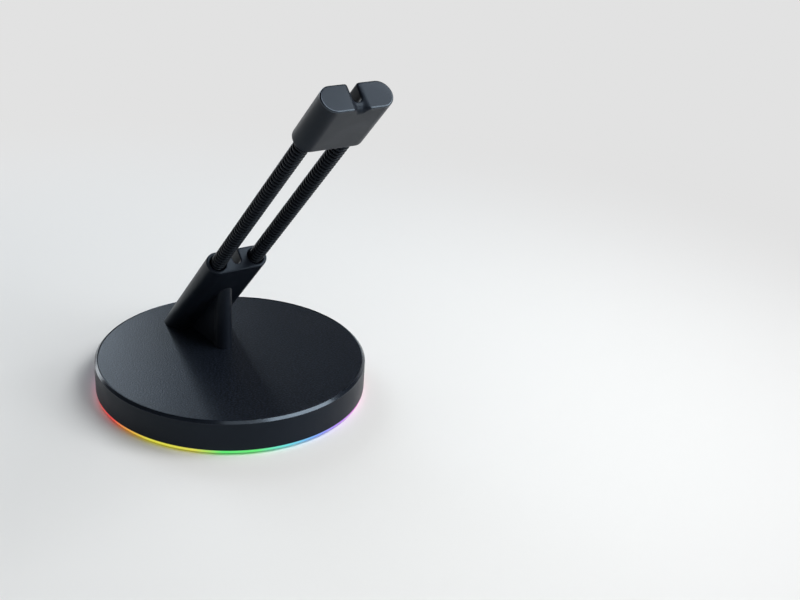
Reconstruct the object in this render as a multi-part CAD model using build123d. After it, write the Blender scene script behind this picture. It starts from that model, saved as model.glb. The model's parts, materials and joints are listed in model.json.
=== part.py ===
from build123d import *
import os
from math import cos, radians, sin, tan

# Mouse bungee: a weighted round base with an underlight, a slanted stem, and
# two springs that carry a head with a cord slot.
# Frame: millimetres, +Z up, origin on the desk under the middle of the base.
# The arm leans forward, towards -Y, and X runs across the two springs.

# Base outline
base_d = 100.0          # outside of the round wall
base_h = 13.3           # desk to rim
wall_t = 2.0            # side wall
deck_t = 1.8            # wall under the top plate
rim_w = 1.6             # edge of the wall to the groove around the top plate
rim_chamfer = 0.9
plate_t = 1.0           # textured top plate
plate_sink = 0.1        # how far the plate lies below the rim
plate_groove = 0.25     # groove around the plate

# Bottom of the base
foot_stand = 0.8        # how far the foot holds the bottom off the desk
foot_t = 1.6
foot_margin = 4.8       # bottom screws to the edge of the foot that covers them
foot_edge = 0.3         # rounding of the foot's lower edge
floor_t = 2.0           # bottom cover
flange_t = 0.6          # rim of the bottom cover that carries the light ring
flange_w = 1.8          # how far that rim reaches under the light ring
light_h = 1.1           # height of the band of light ring that shows
light_inset = 0.3       # how far that band lies inside the wall
lip_t = 1.4             # inner lip of the light ring, which faces the lamps
lip_h = 2.7             # how far the lip reaches up inside the wall

# Inside the base
board_t = 1.0
board_w = 10.3          # width of the ring-shaped board
board_clear = 1.4       # bottom cover to the board
led_count = 24
led_w = 3.0
led_depth = 1.4
led_h = 1.0
led_inset = 0.2         # lamp face to the edge of the board
chip_side = 5.0
chip_h = 0.9
chip_angle = 215.0
ballast_t = 4.5
ballast_gap = 0.6       # ballast to the board around it
spigot_d = 10.0         # spigot of the bottom cover that centres the ballast
spigot_h = 3.0
hold_d = 6.0            # posts of the deck that hold the ballast down
hold_inset = 10.0
hold_count = 3

# Power inlet
socket_w = 8.94
socket_h = 3.26
socket_l = 7.35
socket_t = 0.3
socket_corner = 1.2
socket_sink = 0.4       # mouth of the inlet to the outside of the wall
tongue_w = 6.7
tongue_t = 0.7
tongue_l = 4.9
tongue_root = 1.7       # block that closes the back of the inlet

# Screws: thread, head width, head height, length under the head
base_screw_d = 2.5
base_screw_head_d = 4.6
base_screw_l = 7.0
base_screw_inset = 10.0  # outside of the wall to the screws
base_screw_count = 4
base_boss_d = 5.6
board_screw_d = 2.0
board_screw_head_d = 3.8
board_screw_head_h = 1.2
board_screw_l = 2.9
board_screw_angles = (0.0, 180.0, 270.0)
board_boss_d = 5.0
stem_screw_d = 3.0
stem_screw_head_d = 5.5
stem_screw_head_h = 1.8
stem_screw_grip = 7.0   # thread inside the stem
drive_share = 0.45      # screwdriver socket, as a share of the head's width
drive_depth = 0.7

# Stem
lean_deg = 42.5         # arm from the vertical
stem_top_y = -3.6       # middle of the stem's top face
stem_top_z = 52.8
stem_depth = 8.6
spring_gap = 15.0       # between the two springs' axes
post_front_y = 3.4      # foremost point of the upright post
post_r = 3.05           # half-round front of the post at its foot
post_back = 2.4         # straight part behind the half round
post_draft = 0.8        # degrees
web_front_t = 5.0       # web between post and stem
web_rear_t = 8.0
edge_r = 0.5            # rounding of the stem's and head's ends

# Springs and their studs
spring_d = 5.4
wire_d = 1.3
coil_pitch = 1.75
coil_crest = 0.7        # width of a coil's outer face
coil_groove = 0.45      # depth of the groove between coils
spring_free = 84.6      # stem to head
spring_seat = 12.0      # length of spring inside the stem and inside the head
spring_clear = 0.3      # spring to the wall of its bore
stud_flange_t = 2.0
stud_pin_l = 9.0
stud_point = 0.4        # chamfer of the pin's end

# Head
head_w = 24.3
head_depth = 9.0
head_l = 22.2
cord_w = 3.0            # cord slot in the head and in the stem
cord_mouth_r = 0.8      # rounding of the slot's mouth
valley_r = 6.5          # valley across the head's top
valley_front = 1.2      # its depth at the front
valley_rear = 0.3       # its depth at the rear

fit = 0.1               # clearance between pieces that seat in each other
thread_fit = 0.05       # clearance around screws and studs
over = 1.0              # how far a cut runs past the face it opens

# Levels, from the desk up
base_r = base_d / 2
z_floor0 = foot_stand
z_floor1 = z_floor0 + floor_t
z_flange1 = z_floor0 + flange_t
z_wall0 = z_floor0 + light_h
z_lip = z_wall0 + lip_h
z_board0 = z_floor1 + board_clear
z_board1 = z_board0 + board_t
z_ballast1 = z_floor1 + ballast_t
z_plate1 = base_h - plate_sink
z_plate0 = z_plate1 - plate_t
z_deck0 = z_plate0 - deck_t
z_socket = z_board1 + socket_h / 2

# Radii of the base
wall_r_in = base_r - wall_t
recess_r = base_r - rim_w
plate_r = recess_r - plate_groove
light_r = base_r - light_inset
lip_r_out = wall_r_in - fit
lip_r_in = lip_r_out - lip_t
floor_r = lip_r_in - fit
flange_r = floor_r + flange_w
board_r_out = lip_r_in - 3 * fit
board_r_in = board_r_out - board_w
ballast_r = board_r_in - ballast_gap
screw_circle = base_r - base_screw_inset
hold_circle = ballast_r - hold_inset
board_screw_circle = (board_r_in + board_r_out) / 2
foot_r = screw_circle + foot_margin

# Places along the arm, measured from the stem's top face
lean = radians(lean_deg)
arm = Plane(origin=(0, stem_top_y, stem_top_z), x_dir=(1, 0, 0), z_dir=(0, -sin(lean), cos(lean)))
spring_l = spring_free + 2 * spring_seat
head_top = spring_free + head_l
bore_r = spring_d / 2 + spring_clear
bore_depth = spring_seat + stud_flange_t
spring_bore_r = spring_d / 2 - wire_d
stud_flange_r = bore_r - fit
stud_pin_r = spring_bore_r - fit
cord_r = cord_w / 2
stem_l = (stem_top_z - z_plate1) / cos(lean) + stem_depth * tan(lean)


def stem_axis_y(z):
    """Where the stem's axis passes the level z."""
    return stem_top_y + (stem_top_z - z) * tan(lean)


# Stem screws: two in the slanted sleeve, as far from its front face at the foot
# as from its rear face at the screw's tip, and one in the post
sleeve_screw_y = (stem_axis_y(z_plate1) + stem_axis_y(z_plate1 + stem_screw_grip)) / 2
post_y = post_front_y + post_r
stem_screw_places = [
    (-spring_gap / 2, sleeve_screw_y),
    (spring_gap / 2, sleeve_screw_y),
    (0, post_y),
]
stem_screw_l = deck_t + plate_t + stem_screw_grip


def disc(r, z0, z1):
    return Pos(0, 0, z0) * extrude(Circle(r), z1 - z0)


def ring(r_out, r_in, z0, z1):
    return Pos(0, 0, z0) * extrude(Circle(r_out) - Circle(r_in), z1 - z0)


def rods(places, r, z0, z1):
    """Upright round rods at several places."""
    return [Pos(x, y) * disc(r, z0, z1) for x, y in places]


def around(r, angles):
    """Points on a circle about the base's middle."""
    return [(r * cos(radians(a)), r * sin(radians(a))) for a in angles]


def even_angles(count, start):
    return [start + 360 / count * i for i in range(count)]


base_screw_places = around(screw_circle, even_angles(base_screw_count, 45))
board_screw_places = around(board_screw_circle, board_screw_angles)
hold_places = around(hold_circle, even_angles(hold_count, 30))


def pan_screw(d, head_d, head_h, length):
    """A screw that points up, with the underside of its head at the origin."""
    shank = disc(d / 2, 0, length)
    shank = chamfer(shank.edges().group_by(Axis.Z)[-1], d / 6)
    head = disc(head_d / 2, -head_h, 0)
    head = fillet(head.edges().group_by(Axis.Z)[0], head_h / 3)
    drive = extrude(RegularPolygon(head_d * drive_share / 2, 6), drive_depth + over)
    return head + shank - Pos(0, 0, -head_h - over) * drive


def countersunk_head(d, head_d, head_h, gap):
    """The cone of a countersunk head, widened by a gap all round."""
    return Pos(0, 0, -head_h / 2) * Cone(head_d / 2 + gap, d / 2 + gap, head_h)


def countersunk_screw(d, head_d, head_h, length):
    """A flat-headed screw that points up, with its head just below the origin."""
    shank = disc(d / 2, 0, length)
    shank = chamfer(shank.edges().group_by(Axis.Z)[-1], d / 6)
    drive = extrude(RegularPolygon(head_d * drive_share / 2, 6), drive_depth + over)
    return countersunk_head(d, head_d, head_h, 0) + shank - Pos(0, 0, -head_h - over) * drive


def stadium(width, depth, z0, z1):
    """A bar of stadium section along the arm."""
    return Pos(0, 0, z0) * extrude(SlotOverall(width, depth), z1 - z0)


def cord_slot(depth, z0, z1):
    """The cutter for a cord slot: a round seat on the arm's axis, open to the rear."""
    reach = depth / 2 + over
    section = Circle(cord_r) + Pos(0, reach / 2) * Rectangle(cord_w, reach)
    return Pos(0, 0, z0) * extrude(section, z1 - z0)


def slot_mouth(shape, depth):
    """The two long edges where the cord slot opens through the rear face."""
    return [
        e
        for e in shape.edges().filter_by(Axis.Z)
        if abs(abs(e.center().X) - cord_r) < fit and abs(e.center().Y - depth / 2) < fit
    ]


def base_housing():
    shell = disc(base_r, z_wall0, base_h)
    shell = chamfer(shell.edges().group_by(Axis.Z)[-1], rim_chamfer)
    shell -= disc(wall_r_in, z_wall0 - over, z_deck0)
    shell -= disc(recess_r, z_plate0, base_h + over)
    shell += rods(base_screw_places, base_boss_d / 2, z_floor1, z_deck0)
    shell += rods(hold_places, hold_d / 2, z_ballast1, z_deck0)
    screw_top = z_floor1 + base_screw_l + fit
    shell -= rods(base_screw_places, base_screw_d / 2 + thread_fit, z_floor1 - over, screw_top)
    shell -= rods(stem_screw_places, stem_screw_d / 2 + fit, z_deck0 - over, z_plate0 + over)
    window = RectangleRounded(socket_w + 4 * fit, socket_h + 4 * fit, socket_corner + 2 * fit)
    window = Plane.XZ * extrude(window, -wall_t - 2 * over)
    return shell - Pos(0, wall_r_in - over, z_socket) * window


def top_plate():
    plate = disc(plate_r, z_plate0, z_plate1)
    return plate - rods(stem_screw_places, stem_screw_d / 2 + fit, z_plate0 - over, base_h)


def light_ring():
    section = Polyline(
        (light_r, z_floor0),
        (light_r, z_wall0),
        (lip_r_out, z_wall0),
        (lip_r_out, z_lip),
        (lip_r_in, z_lip),
        (lip_r_in, z_flange1),
        (flange_r + fit, z_flange1),
        (flange_r + fit, z_floor0),
        close=True,
    )
    return revolve(Plane.XZ * make_face(section), Axis.Z)


def base_plate():
    plate = disc(flange_r, z_floor0, z_flange1) + disc(floor_r, z_flange1, z_floor1)
    plate += disc(spigot_d / 2, z_floor1, z_floor1 + spigot_h)
    plate += rods(board_screw_places, board_boss_d / 2, z_floor1, z_board0)
    plate -= disc(foot_r, 0, foot_t)
    sink = countersunk_head(base_screw_d, base_screw_head_d, z_floor1 - foot_t, thread_fit)
    plate -= [Pos(x, y, z_floor1) * sink for x, y in base_screw_places]
    pilot_z = z_board1 - board_screw_l - fit
    plate -= rods(board_screw_places, board_screw_d / 2 + thread_fit, pilot_z, z_board1)
    return plate


def foot():
    pad = disc(foot_r - fit, 0, foot_t)
    return fillet(pad.edges().group_by(Axis.Z)[0], foot_edge)


def ballast():
    return ring(ballast_r, spigot_d / 2 + fit, z_floor1, z_ballast1)


def led_board():
    board = ring(board_r_out, board_r_in, z_board0, z_board1)
    board -= rods(base_screw_places, base_boss_d / 2 + 3 * fit, z_board0 - over, z_board1 + over)
    board -= rods(board_screw_places, board_screw_d / 2 + fit, z_board0 - over, z_board1 + over)
    return board


def leds():
    r = board_r_out - led_inset - led_depth / 2
    angles = even_angles(led_count, 180 / led_count)
    lamp = Pos(r, 0, z_board0 - led_h / 2) * Box(led_depth, led_w, led_h)
    return [Rot(0, 0, a) * lamp for a in angles]


def driver_chip():
    chip = Box(chip_side, chip_side, chip_h)
    return Rot(0, 0, chip_angle) * Pos(board_screw_circle, 0, z_board1 + chip_h / 2) * chip


def inlet_block(inset, y0, y1):
    """A rounded block along the power inlet, a set distance inside its outline."""
    outline = RectangleRounded(socket_w - 2 * inset, socket_h - 2 * inset, socket_corner - inset)
    return Pos(0, y0, z_socket) * (Plane.XZ * extrude(outline, y0 - y1))


socket_y1 = base_r - socket_sink
socket_y0 = socket_y1 - socket_l


def power_socket_shell():
    return inlet_block(0, socket_y0, socket_y1) - inlet_block(socket_t, socket_y0 - over, socket_y1 + over)


def power_socket_tongue():
    root = inlet_block(socket_t + thread_fit, socket_y0, socket_y0 + tongue_root)
    tongue = Box(tongue_w, tongue_l, tongue_t)
    return root + Pos(0, socket_y0 + tongue_root + tongue_l / 2, z_socket) * tongue


def base_screws():
    screw = countersunk_screw(base_screw_d, base_screw_head_d, z_floor1 - foot_t, base_screw_l)
    return [Pos(x, y, z_floor1) * screw for x, y in base_screw_places]


def board_screws():
    screw = pan_screw(board_screw_d, board_screw_head_d, board_screw_head_h, board_screw_l)
    return [Pos(x, y, z_board1) * Rot(180, 0, 0) * screw for x, y in board_screw_places]


def stem_screws():
    screw = pan_screw(stem_screw_d, stem_screw_head_d, stem_screw_head_h, stem_screw_l)
    return [Pos(x, y, z_deck0) * screw for x, y in stem_screw_places]


def stem_support():
    """The upright post and the web behind it, up into the slanted sleeve's front wall."""
    height = stem_top_z - z_plate1
    post = Pos(0, post_y) * Circle(post_r)
    post += Pos(0, post_y + post_back / 2) * Rectangle(2 * post_r, post_back)
    rear_y = stem_axis_y(z_plate1)
    web = make_face(
        Polyline(
            (-web_front_t / 2, post_y),
            (web_front_t / 2, post_y),
            (web_rear_t / 2, rear_y),
            (-web_rear_t / 2, rear_y),
            close=True,
        )
    )
    support = Pos(0, 0, z_plate1) * (extrude(post, height, taper=post_draft) + extrude(web, height))
    wall_mid = -(cord_r + stem_depth / 2) / 2
    under_wall = arm * Pos(0, wall_mid - base_d / 2, 0) * Box(base_d, base_d, 4 * stem_l)
    return support & under_wall


def stem():
    sleeve = stadium(spring_gap + stem_depth, stem_depth, -stem_l, 0)
    sleeve = fillet(sleeve.edges().group_by(Axis.Z)[-1], edge_r)
    sleeve -= cord_slot(stem_depth, -stem_l - over, over)
    sleeve = fillet(slot_mouth(sleeve, stem_depth), cord_mouth_r)
    for side in (-1, 1):
        sleeve -= Pos(side * spring_gap / 2, 0) * disc(bore_r, -bore_depth, over)
    above_plate = Pos(0, 0, z_plate1 + base_d) * Box(4 * base_d, 4 * base_d, 2 * base_d)
    shape = (arm * sleeve + stem_support()) & above_plate
    tip = z_plate1 + stem_screw_grip + fit
    return shape - rods(stem_screw_places, stem_screw_d / 2 + thread_fit, z_plate1 - over, tip)


def coil_spring(side):
    """A close-wound spring as a sleeve with one ridge for each coil."""
    turns = round(spring_l / coil_pitch)
    pitch = spring_l / turns
    crest_r = spring_d / 2
    root_r = crest_r - coil_groove
    flank = (pitch - coil_crest) / 2
    points = [(spring_bore_r, 0), (root_r, 0)]
    for i in range(turns):
        z = i * pitch
        points += [(crest_r, z + flank), (crest_r, z + flank + coil_crest), (root_r, z + pitch)]
    points.append((spring_bore_r, spring_l))
    coils = revolve(Plane.XZ * make_face(Polyline(*points, close=True)), Axis.Z)
    return arm * Pos(side * spring_gap / 2, 0, -spring_seat) * coils


def stud():
    """A stud that points up, with the seat for the spring's end at the origin."""
    pin = disc(stud_pin_r, 0, stud_pin_l)
    pin = chamfer(pin.edges().group_by(Axis.Z)[-1], stud_point)
    return disc(stud_flange_r, -stud_flange_t, 0) + pin


def lower_stud(side):
    return arm * Pos(side * spring_gap / 2, 0, -spring_seat) * stud()


def upper_stud(side):
    return arm * Pos(side * spring_gap / 2, 0, spring_free + spring_seat) * Rot(180, 0, 0) * stud()


def head():
    block = stadium(head_w, head_depth, spring_free, head_top)
    block = fillet(block.edges().filter_by(Axis.Z, reverse=True), edge_r)
    block -= cord_slot(head_depth, spring_free - over, head_top + over)
    block = fillet(slot_mouth(block, head_depth), cord_mouth_r)
    for side in (-1, 1):
        block -= Pos(side * spring_gap / 2, 0) * disc(bore_r, spring_free - over, spring_free + bore_depth)
    slope = Vector(0, -head_depth, valley_rear - valley_front)
    valley_mid = head_top + valley_r - (valley_front + valley_rear) / 2
    valley = Plane(origin=(0, 0, valley_mid), x_dir=(1, 0, 0), z_dir=slope)
    return arm * (block - valley * Cylinder(valley_r, 3 * head_depth))


nodes = {
    "base_housing": base_housing(),
    "top_plate": top_plate(),
    "light_ring": light_ring(),
    "base_plate": base_plate(),
    "foot": foot(),
    "ballast": ballast(),
    "led_board": led_board(),
    "leds": leds(),
    "driver_chip": driver_chip(),
    "power_socket_shell": power_socket_shell(),
    "power_socket_tongue": power_socket_tongue(),
    "base_screws": base_screws(),
    "board_screws": board_screws(),
    "stem_screws": stem_screws(),
    "stem": stem(),
    "left_spring": coil_spring(-1),
    "right_spring": coil_spring(1),
    "left_lower_stud": lower_stud(-1),
    "right_lower_stud": lower_stud(1),
    "left_upper_stud": upper_stud(-1),
    "right_upper_stud": upper_stud(1),
    "head": head(),
}

os.makedirs("parts", exist_ok=True)
for name, shape in nodes.items():
    pieces = shape if isinstance(shape, list) else [shape]
    export_step(Compound(children=[Compound(p.solids()) for p in pieces]), f"parts/{name}.step")
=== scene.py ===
"""Mouse bungee: the finished look of a weighted stand with two springs and a cord head.

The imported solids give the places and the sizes. This file remakes the moulded pieces with soft
edges, winds the springs, gives every surface its finish and sets a plain studio around them.
"""

import json
import math

import bmesh
import bpy
from bpy.props import FloatProperty, FloatVectorProperty, IntProperty, PointerProperty
from bpy.types import Operator, Panel, PropertyGroup
from mathutils import Matrix, Vector
from mathutils.geometry import delaunay_2d_cdt


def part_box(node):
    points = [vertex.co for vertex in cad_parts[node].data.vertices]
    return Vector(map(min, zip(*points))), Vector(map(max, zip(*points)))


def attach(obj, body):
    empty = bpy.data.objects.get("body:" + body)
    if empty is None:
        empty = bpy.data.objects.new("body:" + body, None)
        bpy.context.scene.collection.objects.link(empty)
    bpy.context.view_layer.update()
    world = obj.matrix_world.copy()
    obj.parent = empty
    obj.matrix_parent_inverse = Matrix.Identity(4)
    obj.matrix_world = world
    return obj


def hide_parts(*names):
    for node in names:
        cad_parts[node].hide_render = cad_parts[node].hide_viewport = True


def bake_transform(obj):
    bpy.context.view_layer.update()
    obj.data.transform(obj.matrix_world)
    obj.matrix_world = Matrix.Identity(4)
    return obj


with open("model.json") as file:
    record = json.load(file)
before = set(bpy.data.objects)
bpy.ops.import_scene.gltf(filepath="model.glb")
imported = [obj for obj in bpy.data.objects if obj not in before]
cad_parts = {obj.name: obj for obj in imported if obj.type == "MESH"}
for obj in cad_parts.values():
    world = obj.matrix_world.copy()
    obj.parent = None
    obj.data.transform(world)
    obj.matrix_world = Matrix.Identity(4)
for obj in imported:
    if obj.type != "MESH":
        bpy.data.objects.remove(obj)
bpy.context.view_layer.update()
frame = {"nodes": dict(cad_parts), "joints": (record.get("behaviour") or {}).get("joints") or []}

bl_info = {
    "name": "Mouse Bungee",
    "version": (1, 0, 0),
    "blender": (4, 5, 0),
    "location": "View3D > Sidebar > Bungee",
    "description": "Builds the finished pieces of a mouse bungee and a studio around them",
    "category": "Object",
}

MM = 0.001

# What the solids say about the base
SHELL_LOW, SHELL_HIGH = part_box("base_housing")
PLATE_LOW, PLATE_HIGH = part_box("top_plate")
RING_LOW, RING_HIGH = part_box("light_ring")
FOOT_LOW, FOOT_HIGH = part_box("foot")
INLET_LOW, INLET_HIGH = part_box("power_socket_shell")
TONGUE_LOW, TONGUE_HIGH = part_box("power_socket_tongue")
BOARD_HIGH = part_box("led_board")[1]

# The arm's own frame: across the springs, towards the rear, and along the springs from the stem's top.
# The two bends lie a quarter and three quarters of the way along the springs.
JOINTS = {joint["name"]: joint for joint in frame["joints"]}
LOWER_BEND = Vector(JOINTS["arm_sway"]["pos_m"])
UPPER_BEND = Vector(JOINTS["arm_nod"]["pos_m"])
ACROSS = Vector(JOINTS["arm_nod"]["axis"])
REARWARD = Vector(JOINTS["arm_sway"]["axis"])
ALONG = ACROSS.cross(REARWARD)
SPRING_FREE = 2 * (UPPER_BEND - LOWER_BEND).length
STEM_TOP = LOWER_BEND - ALONG * SPRING_FREE / 4
ARM = Matrix.Translation(STEM_TOP) @ Matrix((ACROSS, REARWARD, ALONG)).transposed().to_4x4()
LEAN = math.acos(ALONG.z)

# Booleans run at a thousand times the size, where their tolerances suit small parts
ENLARGE = Matrix.Scale(1 / MM, 4)
SHRINK = Matrix.Scale(MM, 4)
OVER = 1.0 * MM           # how far a cut runs past the face it opens
TURN = 2 * math.pi
CDT_TRIANGLES = 0         # delaunay_2d_cdt gives every triangle, inside the outlines or not
CDT_CLOSE = 1e-6          # millimetres within which two points are one
WHITE = (1.0, 1.0, 1.0)


def maker(kind, **options):
    """A function that makes one kind of property from its name, its description and its default."""

    def make(name, description, default):
        return kind(name=name, description=description, default=default, **options)

    return make


length = maker(FloatProperty, min=0.0, unit="LENGTH", precision=5)
factor = maker(FloatProperty, min=0.0, max=1.0, subtype="FACTOR")
rotation = maker(FloatProperty, subtype="ANGLE")
colour = maker(FloatVectorProperty, min=0.0, max=1.0, size=3, subtype="COLOR")
place = maker(FloatVectorProperty, size=3, subtype="TRANSLATION", unit="LENGTH")


def power(name, default):
    """A property for a lamp's power."""
    return FloatProperty(
        name=name, description="Power of this softbox", default=default, min=0.0, unit="POWER"
    )


class BaseSizes(PropertyGroup):
    """Sizes of the round base."""

    radius: length("Radius", "Outside of the round wall", SHELL_HIGH.x)
    wall: length("Wall", "Thickness of the side wall", 2.0 * MM)
    deck: length("Deck", "Thickness under the top plate", 1.8 * MM)
    rim: length("Rim", "Outside of the wall to the top plate's recess", 1.15 * MM)
    chamfer: length("Chamfer", "Bright cut around the rim", 0.9 * MM)
    edge: length("Edge", "Rounding of the rim's edges", 0.22 * MM)
    plate_edge: length("Plate edge", "Rounding of the top plate", 0.2 * MM)
    light_lip: length("Light lip", "Thickness of the light ring's inner lip", 1.4 * MM)
    light_band: length("Light band", "Height of the light ring that shows", 1.1 * MM)
    light_flange: length("Light flange", "Thickness of the light ring's inner flange", 0.6 * MM)
    fit: length("Fit", "Clearance between seated pieces", 0.1 * MM)
    inlet_corner: length("Inlet corner", "Rounding of the power inlet's outline", 1.2 * MM)
    inlet_gap: length("Inlet gap", "Power inlet to the edge of its window", 0.2 * MM)


class ArmSizes(PropertyGroup):
    """Sizes of the stem and the head."""

    stem_depth: length("Stem depth", "Front to rear of the slanted sleeve", 8.6 * MM)
    spring_gap: length("Spring gap", "Between the axes of the two springs", 15.0 * MM)
    bore: length("Bore", "Radius of the bores that hold the springs", 3.0 * MM)
    bore_depth: length("Bore depth", "Depth of those bores", 14.0 * MM)
    post_front: length("Post front", "Foremost point of the upright post", 3.4 * MM)
    post: length("Post", "Radius of the post's half round at its foot", 3.05 * MM)
    post_top: length("Post top", "Radius of the post's half round at the stem's top", 2.5 * MM)
    post_back: length("Post back", "Straight part of the post behind its half round", 2.4 * MM)
    post_corner: length("Post corner", "Rounding of the post's rear corners", 0.35 * MM)
    web_front: length("Web front", "Width of the web at the post", 5.0 * MM)
    web_rear: length("Web rear", "Width of the web at the sleeve", 8.0 * MM)
    head_width: length("Head width", "Across the head", 24.3 * MM)
    head_depth: length("Head depth", "Front to rear of the head", 9.0 * MM)
    head_length: length("Head length", "Along the arm", 22.2 * MM)
    cord: length("Cord", "Width of the cord slot", 3.0 * MM)
    cord_mouth: length("Cord mouth", "Rounding of the cord slot's mouth", 0.8 * MM)
    valley_depth: length("Valley depth", "Depth of the head's valley at the front", 0.75 * MM)
    valley_rise: length("Valley rise", "How much shallower the valley is at the rear", 0.35 * MM)
    valley_floor: length("Valley floor", "Width of the valley's flat floor", 1.4 * MM)
    valley_width: length("Valley width", "Width of the valley from shoulder to shoulder", 6.0 * MM)
    valley_lip: length("Valley lip", "Rounding of the front edge in the valley", 2.0 * MM)
    soft_edge: length("Soft edge", "Rounding of the sleeve's and the head's edges", 0.5 * MM)


class SpringSizes(PropertyGroup):
    """Sizes of the two springs."""

    outside: length("Outside", "Diameter over the coils", 5.4 * MM)
    wire: length("Wire", "Diameter of the wire", 1.35 * MM)
    seat: length("Seat", "Length of spring inside the stem and inside the head", 12.0 * MM)
    turns: IntProperty(name="Turns", description="Coils in half a spring", default=31, min=1)
    points: IntProperty(name="Points", description="Points of a coil", default=36, min=8)
    sides: IntProperty(name="Sides", description="Sides of the wire", default=12, min=6)


class Finishes(PropertyGroup):
    """Colours and finishes of the pieces."""

    satin: colour("Satin plastic", "Shell, stem and head", (0.0062, 0.0082, 0.0128))
    satin_roughness: factor("Satin roughness", "Shell, stem and head", 0.4)
    rim_roughness: factor("Rim roughness", "Bright cut of the base's rim and the head's edge", 0.2)
    satin_mirror: factor("Satin mirror", "How much the satin plastic mirrors", 0.18)
    textured_mirror: factor("Textured mirror", "How much the top plate mirrors", 0.25)
    cast: colour("Cast", "Cool tint of what the black plastics mirror", (0.7, 0.85, 1.0))
    # the top plate's colour; its finish paints it down to a tenth in the grain's hollows (painted shade)
    # and up to 3.4 times on the tops (painted highlight)
    textured: colour("Textured plastic", "Top plate", (0.0050, 0.0066, 0.0102))
    textured_roughness: factor("Textured roughness", "Top plate", 0.32)
    inner: colour("Inner plastic", "Bottom cover, chip and inlet's tongue", (0.016, 0.016, 0.017))
    rubber: colour("Rubber", "Foot", (0.017, 0.017, 0.018))
    spring_steel: colour("Spring steel", "Blackened wire", (0.0035, 0.0043, 0.0065))
    spring_mirror: factor("Spring mirror", "How much the blackened wire mirrors", 0.16)
    steel: colour("Steel", "Ballast, screws, studs and inlet", (0.5, 0.5, 0.51))
    gold: colour("Gold", "Contacts of the inlet", (0.83, 0.6, 0.25))
    board: colour("Board", "Solder mask of the lamp board", (0.008, 0.045, 0.024))
    copper: colour("Copper", "Tracks under the solder mask", (0.03, 0.13, 0.06))
    diffuser: colour("Diffuser", "Light ring when unlit", (0.15, 0.155, 0.165))
    glow: FloatProperty(name="Glow", description="Strength of the light ring", default=0.75, min=0.0)
    rainbow_start: rotation("Rainbow start", "Where the rainbow is red", math.radians(172))
    rainbow_runs: IntProperty(
        name="Rainbow runs", description="Rainbows around the ring", default=2, min=1
    )


class Studio(PropertyGroup):
    """Camera, lights and floor."""

    camera: place("Camera", "Where the camera stands", (-0.179586, -0.345052, 0.220270))
    aim: place("Aim", "What the camera looks at", (0.057807, -0.025175, 0.033393))
    roll: rotation("Roll", "Turn of the camera about its view", math.radians(4.18))
    lens: FloatProperty(name="Lens", description="Focal length", default=52.28, unit="CAMERA")
    floor: colour("Floor", "Plain pale floor", (0.8, 0.785, 0.76))
    far_floor: factor("Far floor", "How pale the floor beyond the lamps and the horizon look", 0.76)
    far_start: length("Far start", "Where the floor begins to look that pale", 0.1)
    far_full: length("Far full", "From where on it does so fully", 0.36)
    sky: factor("Sky", "Even light from above", 0.02)
    top_light: power("Top light", 0.6)
    front_light: power("Front light", 5.2)
    back_light: power("Back light", 2.6)
    left_light: power("Left light", 0.4)
    low_light: power("Low light", 3.4)
    rim_light: power("Rim light", 0.45)
    front_tint: colour("Front tint", "Tint of the front, top and low softboxes", (0.94, 0.97, 1.0))
    back_tint: colour("Back tint", "Tint of the back softbox", (0.8, 0.9, 1.0))


# Drawing meshes


def mesh_object(name, points, faces):
    """A new object from points and faces, with every face turned outwards."""
    mesh = bpy.data.meshes.new(name)
    mesh.from_pydata(points, [], faces)
    shape = bmesh.new()
    shape.from_mesh(mesh)
    bmesh.ops.recalc_face_normals(shape, faces=shape.faces)
    shape.to_mesh(mesh)
    shape.free()
    obj = bpy.data.objects.new(name, mesh)
    bpy.context.scene.collection.objects.link(obj)
    return obj


def discard(obj):
    """Removes a helper object and its mesh."""
    mesh = obj.data
    bpy.data.objects.remove(obj)
    bpy.data.meshes.remove(mesh)


def arc(centre, radius, start, finish, steps):
    """Points on an arc, in degrees."""
    angles = [math.radians(start + (finish - start) * i / steps) for i in range(steps + 1)]
    return [(centre[0] + radius * math.cos(a), centre[1] + radius * math.sin(a)) for a in angles]


def rounded(corners, steps=5):
    """A closed outline from corners (x, y, radius), with each corner rounded by its radius."""
    points = []
    for i, (x, y, radius) in enumerate(corners):
        here = Vector((x, y))
        if radius == 0:
            points.append(here)
            continue
        back = (Vector(corners[i - 1][:2]) - here).normalized()
        ahead = (Vector(corners[(i + 1) % len(corners)][:2]) - here).normalized()
        half = back.angle(ahead) / 2
        reach = radius / math.tan(half)
        centre = here + (back + ahead).normalized() * radius / math.sin(half)
        first = here + back * reach - centre
        last = here + ahead * reach - centre
        points += [centre + first.slerp(last, step / steps) * radius for step in range(steps + 1)]
    return points


def lathe(name, corners, segments=288):
    """A solid turned about Z from a closed profile of corners (radius, height, rounding)."""
    points = []
    rings = []
    for radius, height in rounded(corners):
        count = segments if radius > 0 else 1
        first = len(points)
        for i in range(count):
            angle = TURN * i / segments
            points.append((radius * math.cos(angle), radius * math.sin(angle), height))
        rings.append([first + i % count for i in range(segments)])
    faces = []
    for here, ahead in zip(rings, rings[1:] + rings[:1]):
        for i in range(segments):
            j = (i + 1) % segments
            face = list(dict.fromkeys((here[i], here[j], ahead[j], ahead[i])))
            if len(face) > 2:
                faces.append(face)
    return mesh_object(name, points, faces)


def loft(name, rings):
    """A closed solid through rings of points, each with as many points as the next."""
    count = len(rings[0])
    points = [point for ring in rings for point in ring]
    faces = [list(range(count)), list(range(len(points) - count, len(points)))]
    for level in range(len(rings) - 1):
        for i in range(count):
            a = level * count + i
            b = level * count + (i + 1) % count
            faces.append([a, b, b + count, a + count])
    return mesh_object(name, points, faces)


def prism(name, outline, low, high, matrix=Matrix()):
    """A bar of that outline from one level to another, placed by a matrix."""
    return loft(name, [[matrix @ Vector((x, y, z)) for x, y in outline] for z in (low, high)])


def box_outline(width, low, high):
    """A rectangle about the middle of X, from one Y to another."""
    return [(-width / 2, low), (width / 2, low), (width / 2, high), (-width / 2, high)]


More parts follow.
